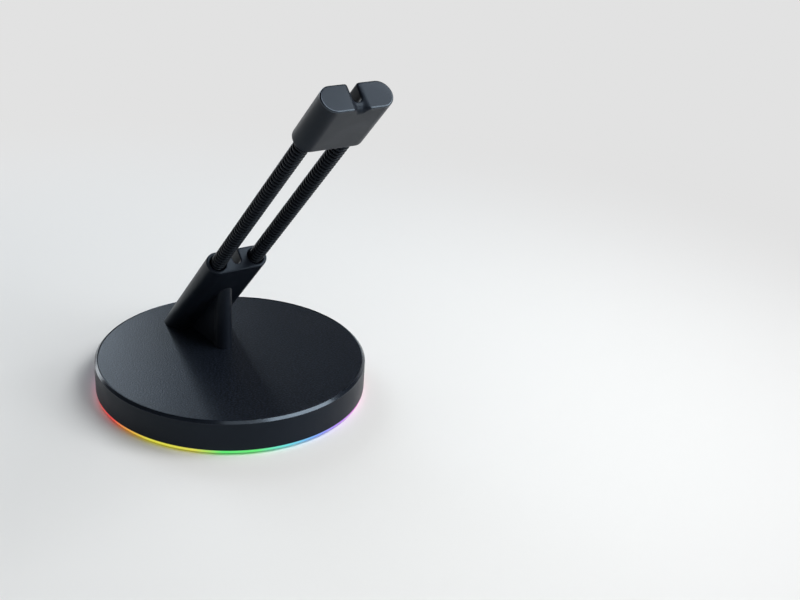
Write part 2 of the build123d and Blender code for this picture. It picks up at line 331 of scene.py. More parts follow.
def freeze(obj):
    """Turns what an object's modifiers make into its plain mesh."""
    before = obj.data
    shaped = obj.evaluated_get(bpy.context.evaluated_depsgraph_get())
    obj.data = bpy.data.meshes.new_from_object(shaped)
    obj.modifiers.clear()
    name = before.name
    bpy.data.meshes.remove(before)
    obj.data.name = name


def combine(obj, other, operation):
    """Cuts the other solid from an object or joins the two."""
    obj.data.transform(ENLARGE)
    other.data.transform(ENLARGE)
    modifier = obj.modifiers.new("combine", "BOOLEAN")
    modifier.solver = "EXACT"
    modifier.operation = operation
    modifier.object = other
    freeze(obj)
    discard(other)
    obj.data.transform(SHRINK)


def shade(obj, angle=35):
    """Shades an object smoothly, with flat faces flat and edges sharper than an angle kept."""
    obj.data.shade_smooth()
    obj.data.set_sharp_from_angle(angle=math.radians(angle))
    modifier = obj.modifiers.new("flat faces", "WEIGHTED_NORMAL")
    modifier.keep_sharp = True
    freeze(obj)


def finish_piece(obj, material, slot, *nodes):
    """Gives a new piece its finish and hides the solids that it stands for."""
    obj.data.materials.clear()
    obj.data.materials.append(material)
    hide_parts(*nodes)


def dress(material, *nodes):
    """Gives solids that stay as they are their finish."""
    for name in nodes:
        mesh = frame["nodes"][name].data
        mesh.materials.clear()
        mesh.materials.append(material)


# Node helpers


def fill(tree, node, sockets):
    """Sets a node's inputs to values, or links them to other nodes' outputs."""
    for name, value in sockets.items():
        if isinstance(value, bpy.types.NodeSocket):
            tree.links.new(value, node.inputs[name])
        else:
            node.inputs[name].default_value = value


def add_node(tree, kind, sockets=None, **options):
    """A new node with its options and its inputs set."""
    node = tree.nodes.new(kind)
    for name, value in options.items():
        setattr(node, name, value)
    fill(tree, node, sockets or {})
    return node


def calculate(tree, operation, *values):
    """The result of a math node."""
    return add_node(tree, "ShaderNodeMath", dict(enumerate(values)), operation=operation).outputs[0]


def noise(tree, spots, size, **sockets):
    """Noise whose features have a size in metres."""
    sockets = {"Vector": spots, "Scale": calculate(tree, "DIVIDE", 1.0, size), **sockets}
    return add_node(tree, "ShaderNodeTexNoise", sockets).outputs["Fac"]


def fade(tree, value, start, end, low=0.0, high=1.0):
    """A smooth change from low to high while a value goes from start to end."""
    sockets = {"Value": value, "From Min": start, "From Max": end, "To Min": low, "To Max": high}
    smooth = add_node(tree, "ShaderNodeMapRange", sockets, interpolation_type="SMOOTHSTEP")
    return smooth.outputs["Result"]


def new_group(name, kind, inputs, outputs):
    """A node group with named sockets: (name, type, default) for inputs, (name, type) for outputs."""
    tree = bpy.data.node_groups.new(name, kind)
    for socket, socket_type, default in inputs:
        made = tree.interface.new_socket(
            socket, in_out="INPUT", socket_type=f"NodeSocket{socket_type}"
        )
        if default is not None:
            made.default_value = default
    for socket, socket_type in outputs:
        tree.interface.new_socket(socket, in_out="OUTPUT", socket_type=f"NodeSocket{socket_type}")
    given = tree.nodes.new("NodeGroupInput").outputs
    return tree, given, tree.nodes.new("NodeGroupOutput").inputs


def grain_group():
    """Fine moulded grain, and broad patches that differ a little, by their sizes in metres."""
    name = "moulded_grain"
    if name in bpy.data.node_groups:
        return bpy.data.node_groups[name]
    tree, given, made = new_group(
        name,
        "ShaderNodeTree",
        [
            ("Vector", "Vector", None),
            ("Grain Size", "Float", 0.3 * MM),
            ("Patch Size", "Float", 12 * MM),
        ],
        [("Height", "Float"), ("Patches", "Float")],
    )
    for size, output, detail in (("Grain Size", "Height", 2.0), ("Patch Size", "Patches", 3.0)):
        value = noise(tree, given["Vector"], given[size], Detail=detail, Roughness=0.55)
        tree.links.new(value, made[output])
    return tree


def marks_group():
    """Soft smudges from handling, from 0 on clean plastic to 1."""
    name = "handling_marks"
    if name in bpy.data.node_groups:
        return bpy.data.node_groups[name]
    tree, given, made = new_group(
        name,
        "ShaderNodeTree",
        [("Vector", "Vector", None), ("Size", "Float", 15 * MM)],
        [("Smudge", "Float")],
    )
    clean, smudged = 0.46, 0.7
    value = noise(tree, given["Vector"], given["Size"], Detail=4.0, Distortion=0.6)
    tree.links.new(fade(tree, value, clean, smudged), made["Smudge"])
    return tree


class Surface:
    """A new material, with grain and patches of real sizes in the piece's own coordinates."""

    def __init__(self, name, grain, patch):
        self.material = bpy.data.materials.new(name)
        self.material.use_nodes = True
        self.tree = self.material.node_tree
        self.shader = self.tree.nodes["Principled BSDF"]
        self.spots = self.node("ShaderNodeTexCoord").outputs["Object"]
        sockets = {"Vector": self.spots, "Grain Size": grain, "Patch Size": patch}
        texture = self.node("ShaderNodeGroup", sockets, node_tree=grain_group()).outputs
        self.grain = texture["Height"]
        self.patches = texture["Patches"]

    def node(self, kind, sockets=None, **options):
        """A new node of this material."""
        return add_node(self.tree, kind, sockets, **options)

    def angle(self):
        """The angle around Z."""
        apart = self.node("ShaderNodeSeparateXYZ", {"Vector": self.spots}).outputs
        return calculate(self.tree, "ARCTAN2", apart["Y"], apart["X"])

    def distance(self):
        """The distance from the origin."""
        return self.node("ShaderNodeVectorMath", {0: self.spots}, operation="LENGTH").outputs["Value"]

    def ramp(self, value, *stops):
        """A colour that follows a value through (position, colour) stops."""
        node = self.node("ShaderNodeValToRGB", {"Fac": value})
        elements = node.color_ramp.elements
        while len(elements) < len(stops):
            elements.new(1.0)
        for element, (position, tint) in zip(elements, stops):
            element.position = position
            element.color = (*tint, 1.0)
        return node.outputs["Color"]

    def tones(self, value, tint, *stops):
        """Darker and lighter tones of a colour, through (position, share of the colour) stops."""
        shades = [(position, [channel * share for channel in tint]) for position, share in stops]
        return self.ramp(value, *shades)

    def patchy(self, tint, dark, light, low=0.3, high=0.7):
        """Patches of a colour in tones from a dark to a light share of it, where noise is low and high."""
        return self.tones(self.patches, tint, (low, dark), (high, light))

    def spread(self, value, low, high):
        """A value from 0 to 1 laid out from low to high."""
        sockets = {"Value": value, "To Min": low, "To Max": high}
        return self.node("ShaderNodeMapRange", sockets).outputs["Result"]

    def relief(self, height, depth):
        """The normals of relief of a real depth in metres."""
        sockets = {"Height": height, "Distance": depth, "Strength": 1.0}
        return self.node("ShaderNodeBump", sockets).outputs["Normal"]

    def finished(self, sockets):
        """The material, with its shader's inputs set."""
        fill(self.tree, self.shader, sockets)
        return self.material


# Finishes


def moulded(name, tint, roughness, grain, depth, mirror=0.5, cast=WHITE):
    """Moulded plastic: fine grain, faint patches of tone and smudges that change its gloss."""
    if name in bpy.data.materials:
        return bpy.data.materials[name]
    patch = 14 * MM
    polish = 0.05        # how much smoother a smudge is
    look = Surface(name, grain, patch)
    sockets = {"Vector": look.spots, "Size": patch}
    marks = look.node("ShaderNodeGroup", sockets, node_tree=marks_group()).outputs
    return look.finished({
        "Base Color": look.patchy(tint, 0.88, 1.12),
        "Roughness": look.spread(marks["Smudge"], roughness, roughness - polish),
        "Specular IOR Level": mirror,
        "Specular Tint": (*cast, 1.0),
        "Normal": look.relief(look.grain, depth),
    })


def satin_plastic(finish):
    """Satin black plastic of the shell, the stem and the head."""
    return moulded(
        "satin_finish", finish.satin, finish.satin_roughness, grain=0.16 * MM, depth=0.004 * MM,
        mirror=finish.satin_mirror, cast=finish.cast,
    )


def cut_plastic(finish):
    """The same plastic where an edge is cut bright."""
    return moulded(
        "bright_cut_finish", finish.satin, finish.rim_roughness, grain=0.1 * MM, depth=0.001 * MM,
        mirror=0.7, cast=finish.cast,
    )


def textured_plastic(finish):
    """Coarser grain of the top plate, its colour painted lighter on the grain tops as a sparkle highlight
    and darker in the hollows as painted shade.
    """
    look = Surface("textured_finish", grain=0.6 * MM, patch=20 * MM)
    rough = finish.textured_roughness
    uneven = 0.04        # how much rougher or smoother a patch is
    return look.finished({
        # painted light: the colour follows the grain's height, from a tenth of the plate's colour in the
        # hollows (painted shade) to 3.4 times it on the tops (painted sparkle highlight)
        "Base Color": look.tones(look.grain, finish.textured, (0.36, 0.1), (0.5, 1.0), (0.64, 3.4)),
        "Roughness": look.spread(look.patches, rough - uneven, rough + uneven),
        "Specular IOR Level": finish.textured_mirror,
        "Specular Tint": (*finish.cast, 1.0),
        "Normal": look.relief(look.grain, 0.08 * MM),
    })


def spring_steel(finish):
    """Black-coated spring wire, a little uneven in its gloss."""
    look = Surface("spring_finish", grain=0.2 * MM, patch=3 * MM)
    return look.finished({
        "Base Color": look.patchy(finish.spring_steel, 0.8, 1.25, high=0.75),
        "Roughness": look.spread(look.grain, 0.2, 0.3),
        "Specular IOR Level": finish.spring_mirror,
        "Specular Tint": (*finish.cast, 1.0),
        "Normal": look.relief(look.grain, 0.002 * MM),
    })


def plain_steel(finish):
    """Zinc-plated steel."""
    look = Surface("steel_finish", grain=0.25 * MM, patch=4 * MM)
    return look.finished({
        "Base Color": look.patchy(finish.steel, 0.85, 1.1),
        "Roughness": look.spread(look.grain, 0.25, 0.42),
        "Metallic": 1.0,
        "Normal": look.relief(look.grain, 0.003 * MM),
    })


def gold_plate(finish):
    """Thin gold of the inlet's contacts."""
    look = Surface("gold_finish", grain=0.1 * MM, patch=12 * MM)
    return look.finished({
        "Base Color": look.patchy(finish.gold, 0.9, 1.0),
        "Roughness": look.spread(look.grain, 0.2, 0.32),
        "Metallic": 1.0,
    })


def circuit_board(finish):
    """Green solder mask over copper tracks that run around the board."""
    look = Surface("board_finish", grain=0.15 * MM, patch=5 * MM)
    around = calculate(look.tree, "MULTIPLY", look.angle(), BOARD_HIGH.x)
    flat = look.node("ShaderNodeCombineXYZ", {"X": around, "Y": look.distance()}).outputs["Vector"]
    black = (0.0, 0.0, 0.0, 1.0)
    layout = {
        "Vector": flat,
        "Color1": black,
        "Color2": black,
        "Mortar": (*WHITE, 1.0),
        "Scale": 1.0,
        "Mortar Size": 0.15 * MM,
        "Brick Width": 9 * MM,
        "Row Height": 0.9 * MM,
    }
    tracks = look.node("ShaderNodeTexBrick", layout, offset=0.37).outputs["Color"]
    return look.finished({
        "Base Color": look.ramp(tracks, (0.0, finish.board), (1.0, finish.copper)),
        "Roughness": look.spread(look.patches, 0.25, 0.4),
        "Normal": look.relief(tracks, 0.02 * MM),
    })


def rainbow(look, finish):
    """Rainbow colours by the angle around the base."""
    runs = finish.rainbow_runs / TURN
    along = calculate(look.tree, "MULTIPLY_ADD", look.angle(), runs, -finish.rainbow_start * runs)
    share = calculate(look.tree, "FRACT", along)
    red, yellow, green, cyan = (1.0, 0.06, 0.04), (0.85, 0.8, 0.02), (0.04, 0.9, 0.1), (0.03, 0.75, 0.8)
    blue, violet, pink = (0.08, 0.25, 1.0), (0.4, 0.12, 0.95), (0.9, 0.1, 0.6)
    return look.ramp(
        share,
        (0.0, red), (0.08, red), (0.2, yellow), (0.31, yellow), (0.37, green), (0.45, green),
        (0.52, cyan), (0.6, blue), (0.67, violet), (0.78, pink), (1.0, red),
    )


def lit(look, finish, tone, gloss):
    """A finish that is lit in rainbow colours."""
    return look.finished({
        "Base Color": tone,
        "Roughness": look.spread(look.grain, *gloss),
        "Emission Color": rainbow(look, finish),
        "Emission Strength": finish.glow,
    })


def light_diffuser(finish):
    """Milky diffuser, lit from behind."""
    look = Surface("diffuser_finish", grain=0.3 * MM, patch=6 * MM)
    return lit(look, finish, look.patchy(finish.diffuser, 0.94, 1.0), gloss=(0.45, 0.55))


def lamp_white(finish):
    """Lamps behind the diffuser."""
    look = Surface("lamp_finish", grain=0.2 * MM, patch=2 * MM)
    dull, clear = (0.75, 0.74, 0.66), (0.86, 0.85, 0.78)
    return lit(look, finish, look.ramp(look.patches, (0.3, dull), (0.7, clear)), gloss=(0.35, 0.45))


# Operators, one for each piece or group of like pieces


class BUNGEE_OT_base_shell(Operator):
    """Turn the round shell of the base and cut the window for the power inlet."""

    bl_idname = "bungee.base_shell"
    bl_label = "Base shell"

    slant = (0.2, 0.95)        # least and most Z of the bright cut's normals

    def execute(self, context):
        base = context.scene.bungee_base
        top = SHELL_HIGH.z
        inside = base.radius - base.wall
        recess = base.radius - base.rim
        shell = lathe(
            "base_shell",
            [
                (0, PLATE_LOW.z - base.deck, 0),
                (inside, PLATE_LOW.z - base.deck, base.edge),
                (inside, SHELL_LOW.z, base.edge),
                (base.radius, SHELL_LOW.z, base.edge),
                (base.radius, top - base.chamfer, base.edge),
                (base.radius - base.chamfer, top, base.edge),
                (recess, top, base.edge),
                (recess, PLATE_LOW.z, 0),
                (0, PLATE_LOW.z, 0),
            ],
        )
        gap = base.inlet_gap
        low, high = INLET_LOW.z - gap, INLET_HIGH.z + gap
        left, right = INLET_LOW.x - gap, INLET_HIGH.x + gap
        corners = ((left, low), (right, low), (right, high), (left, high))
        outline = rounded([(x, z, base.inlet_corner + gap) for x, z in corners])
        upright = Matrix.Rotation(math.pi / 2, 4, "X")
        window = prism("window", outline, -base.radius - OVER, OVER - inside, upright)
        combine(shell, window, "DIFFERENCE")
        shade(shell)
        finish = context.scene.bungee_finish
        finish_piece(shell, satin_plastic(finish), "satin_black_plastic", "base_housing")
        shell.data.materials.append(cut_plastic(finish))
        for face in shell.data.polygons:
            slanted = self.slant[0] < face.normal.z < self.slant[1]
            face.material_index = int(slanted and face.center.z > top - base.chamfer - base.edge)
        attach(shell, "stand")
        return {"FINISHED"}


class BUNGEE_OT_top_plate(Operator):
    """Turn the textured plate that covers the base."""

    bl_idname = "bungee.top_plate"
    bl_label = "Top plate"

    def execute(self, context):
        base = context.scene.bungee_base
        edge = base.radius - base.rim - base.fit
        plate = lathe(
            "textured_plate",
            [
                (0, PLATE_LOW.z, 0),
                (edge, PLATE_LOW.z, 0),
                (edge, PLATE_HIGH.z, base.plate_edge),
                (0, PLATE_HIGH.z, 0),
            ],
        )
        shade(plate)
        texture = textured_plastic(context.scene.bungee_finish)
        finish_piece(plate, texture, "textured_black_plastic", "top_plate")
        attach(plate, "stand")
        return {"FINISHED"}


class BUNGEE_OT_light_ring(Operator):
    """Turn the light ring that shows as a thin band under the shell."""

    bl_idname = "bungee.light_ring"
    bl_label = "Light ring"

    def execute(self, context):
        base = context.scene.bungee_base
        lip = base.radius - base.wall - base.fit
        lip_in = lip - base.light_lip
        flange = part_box("base_plate")[1].x + base.fit
        band = RING_LOW.z + base.light_band
        shelf = RING_LOW.z + base.light_flange
        ring = lathe(
            "glow_ring",
            [
                (RING_HIGH.x, RING_LOW.z, base.edge),
                (RING_HIGH.x, band, base.edge / 2),
                (lip, band, 0),
                (lip, RING_HIGH.z, base.edge),
                (lip_in, RING_HIGH.z, base.edge),
                (lip_in, shelf, 0),
                (flange, shelf, 0),
                (flange, RING_LOW.z, base.edge / 2),
            ],
        )
        shade(ring)
        finish_piece(ring, light_diffuser(context.scene.bungee_finish), "light_diffuser", "light_ring")
        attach(ring, "stand")
        return {"FINISHED"}


def encloses(outline, x, y):
    """Whether a point lies inside an outline."""
    inside = False
    for (x0, y0), (x1, y1) in zip(outline, outline[1:] + outline[:1]):
        if (y0 > y) != (y1 > y) and x < x0 + (x1 - x0) * (y - y0) / (y1 - y0):
            inside = not inside
    return inside


class Skin:
    """Points and faces of a solid that is drawn ring by ring."""

    def __init__(self):
        self.points = []
        self.faces = []

    def ring(self, outline, heights):
        """Adds a ring of points above an outline and gives their numbers."""
        first = len(self.points)
        self.points += [(x, y, z) for (x, y), z in zip(outline, heights)]
        return list(range(first, len(self.points)))

    def wall(self, rings):
        """Joins each ring to the next."""
        for here, ahead in zip(rings, rings[1:]):
            for i in range(len(here)):
                j = (i + 1) % len(here)
                self.faces.append((here[i], here[j], ahead[j], ahead[i]))

    def cap(self, rings, inner=()):
        """Fills the face inside the first ring and outside the others, through inner points."""
        numbers = [number for ring in rings for number in ring]
        edges = []
        first = 0
        for ring in rings:
            edges += [(first + i, first + (i + 1) % len(ring)) for i in range(len(ring))]
            first += len(ring)
        numbers += self.ring([(x, y) for x, y, z in inner], [z for x, y, z in inner])
        flat = [Vector(self.points[number][:2]) / MM for number in numbers]
        filled = delaunay_2d_cdt(flat, edges, [], CDT_TRIANGLES, CDT_CLOSE)
        spots, triangles, sources = filled[0], filled[2], filled[3]
        outlines = [[self.points[number][:2] for number in ring] for ring in rings]
        for triangle in triangles:
            x, y = sum((spots[corner] for corner in triangle), Vector((0.0, 0.0))) / 3 * MM
            if [encloses(outline, x, y) for outline in outlines] == [True] + [False] * (len(rings) - 1):
                self.faces.append([numbers[sources[corner][0]] for corner in triangle])

    def solid(self, name):
        """The finished solid, moved from the arm's frame to its place."""
        return mesh_object(name, [ARM @ Vector(point) for point in self.points], self.faces)


def line(start, finish, step=0.4 * MM):
    """Points between two ends, without the ends."""
    start, finish = Vector(start), Vector(finish)
    count = max(1, round((finish - start).length / step))
    return [tuple(start.lerp(finish, i / count)) for i in range(1, count)]


def bar_section(width, depth, arm):
    """Outline of a bar with round ends and a cord slot whose mouth flares towards the rear."""
    reach = (width - depth) / 2
    seat = arm.cord / 2
    mouth = arm.cord_mouth
    mouth_start = 100        # degrees, a little past the rear face's own direction
    flare = arc((seat + mouth, depth / 2 - mouth), mouth, mouth_start, 180, steps=8)
    right = arc((reach, 0), depth / 2, -90, 90, steps=44)
    right += line(right[-1], flare[0]) + flare + line(flare[-1], (seat, 0))
    round_seat = arc((0, 0), seat, 0, -180, steps=28)
    left = [(-x, y) for x, y in reversed(right)]
    return right + round_seat + left + line(left[-1], right[0])


def inset(outline, distances):
    """An outline moved into its material, which lies to the left of its direction."""
    moved = []
    for i, (x, y) in enumerate(outline):
        back = (Vector((x, y)) - Vector(outline[i - 1])).normalized()
        ahead = (Vector(outline[(i + 1) % len(outline)]) - Vector((x, y))).normalized()
        way = (back + ahead).normalized()
        reach = distances[i] / way.dot(back)
        moved.append((x - way.y * reach, y + way.x * reach))
    return moved


def rolled_edge(skin, outline, radii, level, facing, steps=5):
    """Rings that roll a wall over into a face that looks up (1) or down (-1) the arm."""
    rings = []
    for step in range(steps + 1):
        angle = math.pi / 2 * step / steps
        shape = inset(outline, [radius * (1 - math.cos(angle)) for radius in radii])
        drop = facing * (1 - math.sin(angle))
        rings.append(skin.ring(shape, [level(x, y) - drop * r for (x, y), r in zip(shape, radii)]))
    return rings


def soft_rim(skin, outline, arm, level, facing):
    """Rings that roll a wall over softly into a face at one level."""
    return rolled_edge(skin, outline, [arm.soft_edge] * len(outline), lambda x, y: level, facing)


def spring_bores(skin, arm, level, facing):
    """Draws the two bores that take the ends of the springs and gives their rims."""
    rims = []
    for side in (-1, 1):
        circle = arc((side * arm.spring_gap / 2, 0), arm.bore, 0, -360, steps=64)[:-1]
        mouth = soft_rim(skin, circle, arm, level, facing)
        bottom = skin.ring(circle, [level - facing * arm.bore_depth] * len(circle))
        skin.wall([bottom, *mouth])
        skin.faces.append(bottom)
        rims.append(mouth[-1])
    return rims


def stem_sleeve(arm):
    """The slanted sleeve with its bores and the cord's channel, down past the plate all around."""
    run = (STEM_TOP.z - PLATE_HIGH.z) / math.cos(LEAN) + 2 * arm.stem_depth * math.tan(LEAN)
    outline = bar_section(arm.spring_gap + arm.stem_depth, arm.stem_depth, arm)
    skin = Skin()
    foot = skin.ring(outline, [-run] * len(outline))
    edge = soft_rim(skin, outline, arm, 0.0, 1)
    skin.wall([foot, *edge])
    skin.cap([foot])
    skin.cap([edge[-1], *spring_bores(skin, arm, 0.0, 1)])
    return skin.solid("stem_body")


def stem_support(arm):
    """The upright post and the web between it and the sleeve, down past the plate."""
    foot = PLATE_HIGH.z
    top = STEM_TOP.z
    middle = arm.post_front + arm.post
    corner = arm.post_corner
    back = middle + arm.post_back - corner
    under = foot - OVER
    under_post = arm.post + (arm.post - arm.post_top) * OVER / (top - foot)        # the same taper
    rings = []
    for radius, level in ((under_post, under), (arm.post_top, top)):
        side = radius - corner
        outline = arc((0, middle), radius, 180, 360, steps=40)
        outline += arc((side, back), corner, 0, 90, steps=4)
        outline += arc((-side, back), corner, 90, 180, steps=4)
        rings.append([Vector((x, y, level)) for x, y in outline])
    support = loft("support", rings)
    rear = STEM_TOP.y + (top - foot) * math.tan(LEAN)
    front_x, rear_x = arm.web_front / 2, arm.web_rear / 2
    web_outline = [(-front_x, middle), (front_x, middle), (rear_x, rear), (-rear_x, rear)]
    combine(support, prism("web", web_outline, under, top), "UNION")
    wall = -(arm.cord + arm.stem_depth) / 4        # halfway through the sleeve's front wall
    reach = 3 * (top - foot)                       # past everything that is cut away
    above = prism("above", box_outline(reach, wall, wall + reach), -reach, reach, ARM)
    combine(support, above, "DIFFERENCE")
    return support


class BUNGEE_OT_stem(Operator):
    """Shape the slanted stem with its post, web, spring bores and cord channel."""

    bl_idname = "bungee.stem"
    bl_label = "Stem"

    def execute(self, context):
        arm = context.scene.bungee_arm
        stem = stem_sleeve(arm)
        combine(stem, stem_support(arm), "UNION")
        reach = 2 * SHELL_HIGH.x
        below = prism("below", box_outline(reach, -reach, reach), PLATE_HIGH.z - reach, PLATE_HIGH.z)
        combine(stem, below, "DIFFERENCE")
        shade(stem)
        finish_piece(stem, satin_plastic(context.scene.bungee_finish), "satin_black_plastic", "stem")
        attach(stem, "stand")
        return {"FINISHED"}


def valley_share(x, arm):
    """How much of the valley's depth is left at a distance from its middle."""
    floor = arm.valley_floor / 2
    across = (abs(x) - floor) / (arm.valley_width / 2 - floor)
    return 0.5 + 0.5 * math.cos(math.pi * min(1.0, max(0.0, across)))


def inner_points(outline, level, step):
    """Points of a face on a square grid, clear of its outline."""
    clear = inset(outline, [step / 2] * len(outline))
    columns, rows = [
        range(math.floor(min(values) / step), math.ceil(max(values) / step)) for values in zip(*clear)
    ]
    spots = [(column * step, row * step) for column in columns for row in rows]
    return [(x, y, level(x, y)) for x, y in spots if encloses(clear, x, y)]


class BUNGEE_OT_head(Operator):
    """Shape the head with its spring bores, cord slot and valley."""

    bl_idname = "bungee.head"
    bl_label = "Head"

    grid = 0.45 * MM         # between points of the top face
    front_band = 0.5 * MM    # outline points so near the front belong to the front edge

    def execute(self, context):
        arm = context.scene.bungee_arm
        top = SPRING_FREE + arm.head_length
        depth = arm.head_depth

        def top_level(x, y):
            fall = arm.valley_depth - arm.valley_rise * (y / depth + 0.5)
            return top - fall * valley_share(x, arm)

        def edge_radius(x, y):
            front = 1.0 if y < self.front_band - depth / 2 else 0.0
            return arm.soft_edge + front * (arm.valley_lip - arm.soft_edge) * valley_share(x, arm)

        outline = bar_section(arm.head_width, depth, arm)
        skin = Skin()
        lower = soft_rim(skin, outline, arm, SPRING_FREE, -1)
        upper = rolled_edge(skin, outline, [edge_radius(x, y) for x, y in outline], top_level, 1)
        skin.wall([*reversed(lower), upper[0]])
        cut_first = len(skin.faces)
        skin.wall(upper)
        cut_last = len(skin.faces)
        skin.cap([lower[-1], *spring_bores(skin, arm, SPRING_FREE, -1)])
        rim = [skin.points[number][:2] for number in upper[-1]]
        skin.cap([upper[-1]], inner_points(rim, top_level, self.grid))
        head = skin.solid("cord_head")
        shade(head)
        finish = context.scene.bungee_finish
        finish_piece(head, satin_plastic(finish), "satin_black_plastic", "head")
        head.data.materials.append(cut_plastic(finish))
        for face in head.data.polygons[cut_first:cut_last]:
            face.material_index = int(abs(face.center.x) > arm.valley_width / 2)
        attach(head, "head")
        return {"FINISHED"}


def end_tree(tree, geometry, given, made):
    """Ends a tree of geometry nodes in plain geometry with its material."""
    plain = add_node(tree, "GeometryNodeRealizeInstances", {"Geometry": geometry})
    sockets = {"Geometry": plain.outputs["Geometry"], "Material": given["Material"]}
    finish = add_node(tree, "GeometryNodeSetMaterial", sockets)
    tree.links.new(finish.outputs["Geometry"], made["Geometry"])
    return tree


def spring_tree():
    """Geometry nodes that wind a spring along Z."""
    tree, given, made = new_group(
        "coil_spring",
        "GeometryNodeTree",
        [
            ("Turns", "Float", 10.0),
            ("Points", "Int", 32),
            ("Coil Radius", "Float", 2.0 * MM),
            ("Height", "Float", 50.0 * MM),
            ("Wire Radius", "Float", 0.6 * MM),
            ("Sides", "Int", 12),
            ("Material", "Material", None),
        ],
        [("Geometry", "Geometry")],
    )
    coil = {
        "Resolution": given["Points"],
        "Rotations": given["Turns"],
        "Start Radius": given["Coil Radius"],
        "End Radius": given["Coil Radius"],
        "Height": given["Height"],
    }
    path = add_node(tree, "GeometryNodeCurveSpiral", coil)
    circle = {"Resolution": given["Sides"], "Radius": given["Wire Radius"]}
    section = add_node(tree, "GeometryNodeCurvePrimitiveCircle", circle)
    sweep = {"Curve": path.outputs["Curve"], "Profile Curve": section.outputs["Curve"]}
    wire = add_node(tree, "GeometryNodeCurveToMesh", {**sweep, "Fill Caps": True})
    return end_tree(tree, wire.outputs["Mesh"], given, made)


def grow(name, tree, values):
    """A plain mesh from a tree of geometry nodes, with its inputs given by name."""
    obj = bpy.data.objects.new(name, bpy.data.meshes.new(name))
    bpy.context.scene.collection.objects.link(obj)
    modifier = obj.modifiers.new(name, "NODES")
    modifier.node_group = tree
    for item in tree.interface.items_tree:
        if item.in_out == "INPUT":
            modifier[item.identifier] = values[item.name]
    freeze(obj)
    return obj


class BUNGEE_OT_springs(Operator):
    """Wind the two springs, each as a lower and an upper half."""

    bl_idname = "bungee.springs"
    bl_label = "Springs"

    def execute(self, context):
        size = context.scene.bungee_spring
        gap = context.scene.bungee_arm.spring_gap
        steel = spring_steel(context.scene.bungee_finish)
        tree = spring_tree()
        middle = SPRING_FREE / 2
        half = middle + size.seat
        values = {
            "Turns": float(size.turns),
            "Points": size.points,
            "Coil Radius": (size.outside - size.wire) / 2,
            "Height": half,
            "Wire Radius": size.wire / 2,
            "Sides": size.sides,
            "Material": steel,
        }
        ends = {
            "lower": (-size.seat, "stand", "springs", 0.0, middle),
            "upper": (middle, "springs", "head", middle, SPRING_FREE),
        }
        for side, x in (("left", -gap / 2), ("right", gap / 2)):
            for end, (start, near, far, bend_start, bend_end) in ends.items():
                spring = grow(f"{side}_spring_{end}", tree, values)
                spring.data.transform(ARM @ Matrix.Translation((x, 0, start)))
                spring.data.shade_smooth()
                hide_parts(f"{side}_spring")
                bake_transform(spring)
        return {"FINISHED"}


def contact_tree():
    """Geometry nodes that lay a row of contacts along X."""
    tree, given, made = new_group(
        "contact_row",
        "GeometryNodeTree",
        [
            ("Count", "Int", 12),
            ("Start", "Vector", None),
            ("Step", "Vector", None),
            ("Size", "Vector", None),
            ("Material", "Material", None),
        ],
        [("Geometry", "Geometry")],
    )
    spots = {"Count": given["Count"], "Start Location": given["Start"], "Offset": given["Step"]}
    row = add_node(tree, "GeometryNodeMeshLine", spots)
    strip = add_node(tree, "GeometryNodeMeshCube", {"Size": given["Size"]})
    sockets = {"Points": row.outputs["Mesh"], "Instance": strip.outputs["Mesh"]}
    laid = add_node(tree, "GeometryNodeInstanceOnPoints", sockets)
    return end_tree(tree, laid.outputs["Instances"], given, made)


class BUNGEE_OT_inlet(Operator):
    """Lay the gold contacts on both faces of the power inlet's tongue."""

    bl_idname = "bungee.inlet"
    bl_label = "Power inlet"

    count = 12
    step = 0.5 * MM
    strip = (0.26 * MM, 3.4 * MM, 0.04 * MM)
    setback = 0.6 * MM        # front of the tongue to the contacts
    tongue = 0.7 * MM         # thickness of the tongue

    def execute(self, context):
        finish = context.scene.bungee_finish
        tree = contact_tree()
        gold = gold_plate(finish)
        middle = (TONGUE_LOW + TONGUE_HIGH) / 2
        first = -self.step * (self.count - 1) / 2
        reach = TONGUE_HIGH.y - self.setback - self.strip[1] / 2
        for face, side in (("upper", 1), ("lower", -1)):
            level = middle.z + side * (self.tongue + self.strip[2]) / 2
            values = {
                "Count": self.count,
                "Start": (first, reach, level),
                "Step": (self.step, 0.0, 0.0),
                "Size": self.strip,
                "Material": gold,
            }
            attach(grow(f"inlet_contacts_{face}", tree, values), "stand")
        return {"FINISHED"}


class BUNGEE_OT_foot(Operator):
    """Turn the rubber foot under the base."""

    bl_idname = "bungee.foot"
    bl_label = "Rubber foot"

    edge = 0.3 * MM

    def execute(self, context):
        finish = context.scene.bungee_finish
        foot = lathe(
            "rubber_foot",
            [
                (0, FOOT_LOW.z, 0),
                (FOOT_HIGH.x, FOOT_LOW.z, self.edge),
                (FOOT_HIGH.x, FOOT_HIGH.z, 0),
                (0, FOOT_HIGH.z, 0),
            ],
        )
        shade(foot)
        rubber = moulded(
            "rubber_finish", finish.rubber, roughness=0.85, grain=0.5 * MM, depth=0.03 * MM
        )
        finish_piece(foot, rubber, "black_rubber", "foot")
        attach(foot, "stand")
        return {"FINISHED"}


class BUNGEE_OT_inner_parts(Operator):
    """Give the solids inside and under the base their finishes."""

    bl_idname = "bungee.inner_parts"
    bl_label = "Inner parts"

    def execute(self, context):
        finish = context.scene.bungee_finish
        inner = moulded(
            "inner_finish", finish.inner, roughness=0.55, grain=0.3 * MM, depth=0.01 * MM
        )
        dress(inner, "base_plate", "power_socket_tongue", "driver_chip")
        dress(
            plain_steel(finish),
            "ballast", "base_screws", "board_screws", "stem_screws", "power_socket_shell",
            "left_lower_stud", "right_lower_stud", "left_upper_stud", "right_upper_stud",
        )
        dress(circuit_board(finish), "led_board")
        dress(lamp_white(finish), "leds")
        return {"FINISHED"}


